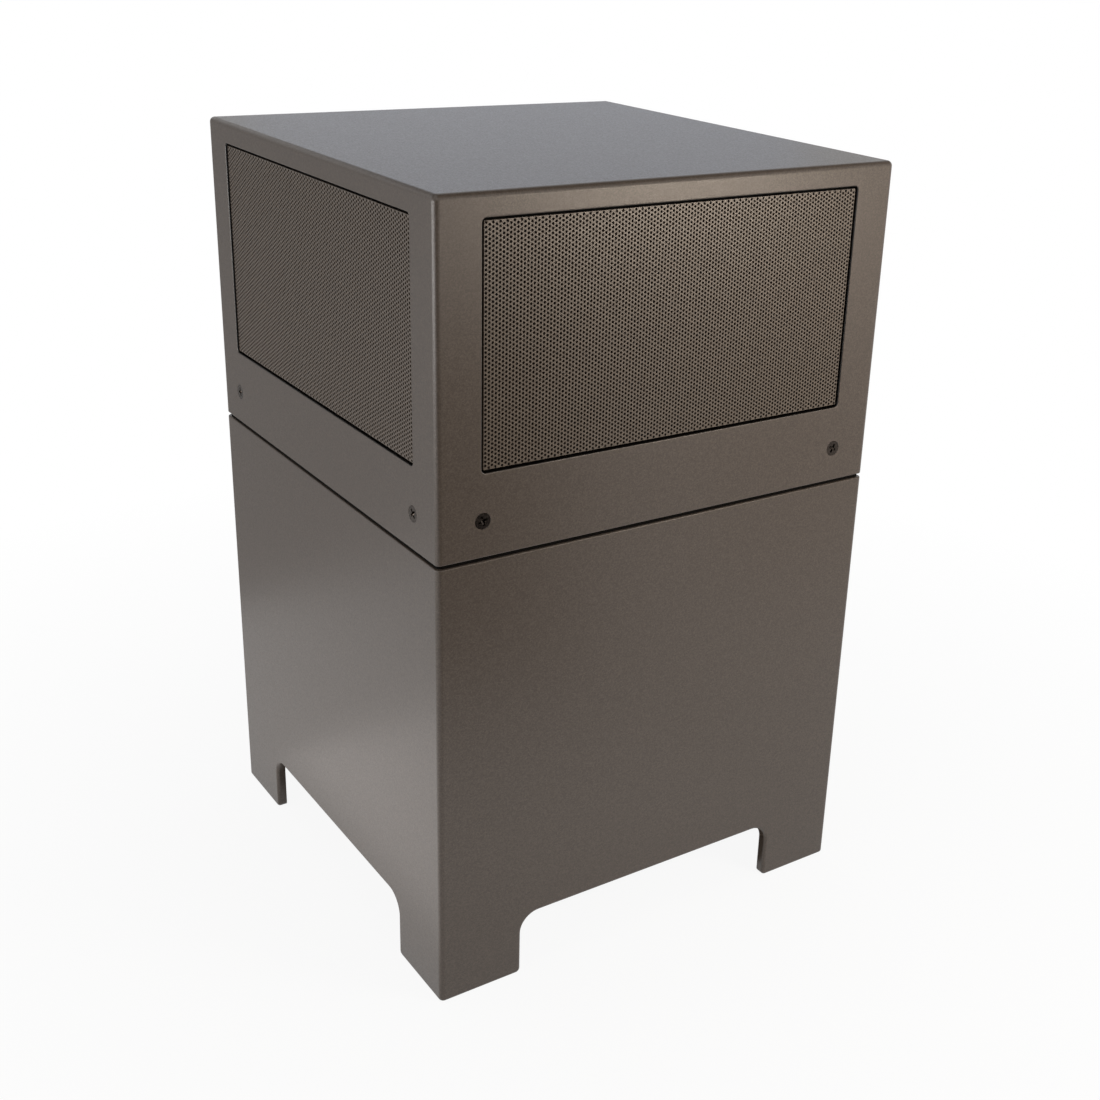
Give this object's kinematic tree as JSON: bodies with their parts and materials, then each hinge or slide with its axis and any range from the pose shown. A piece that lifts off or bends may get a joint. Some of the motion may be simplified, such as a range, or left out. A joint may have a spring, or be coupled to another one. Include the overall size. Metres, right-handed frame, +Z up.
{
  "type": "column loudspeaker",
  "caption": "Square pedestal loudspeaker: a bronze metal head with a perforated grille in each side, over a shadow gap, on a base cabinet with corner legs and a down-firing woofer.",
  "frame": {"origin": "centre of the square footprint, on the floor", "axes": "+Z up through the column, -Y out of the front, +X out of the right-hand side"},
  "size_m": [0.3048, 0.3048, 0.4826],
  "materials": {
    "powder_coat": "fine-textured metallic dark bronze powder coat",
    "grille_coat": "dark bronze powder coat on perforated sheet",
    "black_screw": "black oxide steel screws",
    "zinc_screw": "zinc-plated steel screws",
    "black_coat": "matt black coat",
    "mill_aluminium": "mill-finish aluminium plate",
    "black_board": "fibreboard painted black",
    "hardboard": "brown hardboard",
    "black_plastic": "moulded black ABS",
    "post_brass": "turned brass posts",
    "copper_winding": "enamelled copper wire",
    "capacitor_case": "sleeved capacitor cans",
    "motor_ferrite": "ferrite ring and zinc-plated plates",
    "spider_cloth": "resin-treated cotton cloth",
    "cone_paper": "pressed black paper pulp",
    "roll_rubber": "moulded black rubber"
  },
  "bodies": {
    "root": {"baffle_box": "black_board", "baffle_lid": "black_board", "base_ledges": "mill_aluminium", "base_shell": "powder_coat", "binding_posts": "post_brass", "bottom_board": "black_board", "capacitors": "capacitor_case", "chassis_frame": "black_coat", "crossover_panel": "hardboard", "deck_plate": "mill_aluminium", "driver_basket_back": "black_coat", "driver_basket_front": "black_coat", "driver_basket_left": "black_coat", "driver_basket_right": "black_coat", "driver_cone_back": "cone_paper", "driver_cone_front": "cone_paper", "driver_cone_left": "cone_paper", "driver_cone_right": "cone_paper", "driver_dust_cap_back": "cone_paper", "driver_dust_cap_front": "cone_paper", "driver_dust_cap_left": "cone_paper", "driver_dust_cap_right": "cone_paper", "driver_magnet_back": "motor_ferrite", "driver_magnet_front": "motor_ferrite", "driver_magnet_left": "motor_ferrite", "driver_magnet_right": "motor_ferrite", "driver_screws": "black_screw", "driver_spider_back": "spider_cloth", "driver_spider_front": "spider_cloth", "driver_spider_left": "spider_cloth", "driver_spider_right": "spider_cloth", "driver_surround_back": "roll_rubber", "driver_surround_front": "roll_rubber", "driver_surround_left": "roll_rubber", "driver_surround_right": "roll_rubber", "driver_voice_coil_back": "copper_winding", "driver_voice_coil_front": "copper_winding", "driver_voice_coil_left": "copper_winding", "driver_voice_coil_right": "copper_winding", "frame_screws": "zinc_screw", "grille_back": "grille_coat", "grille_frame_back": "black_plastic", "grille_frame_front": "black_plastic", "grille_frame_left": "black_plastic", "grille_frame_right": "black_plastic", "grille_front": "grille_coat", "grille_left": "grille_coat", "grille_right": "grille_coat", "head_screws": "black_screw", "head_shell": "powder_coat", "inductor_coil": "copper_winding", "terminal_cup": "black_plastic", "woofer_basket": "black_coat", "woofer_cone": "cone_paper", "woofer_dust_cap": "cone_paper", "woofer_magnet": "motor_ferrite", "woofer_screws": "black_screw", "woofer_spider": "spider_cloth", "woofer_surround": "roll_rubber", "woofer_voice_coil": "copper_winding"}
  },
  "joints": []
}
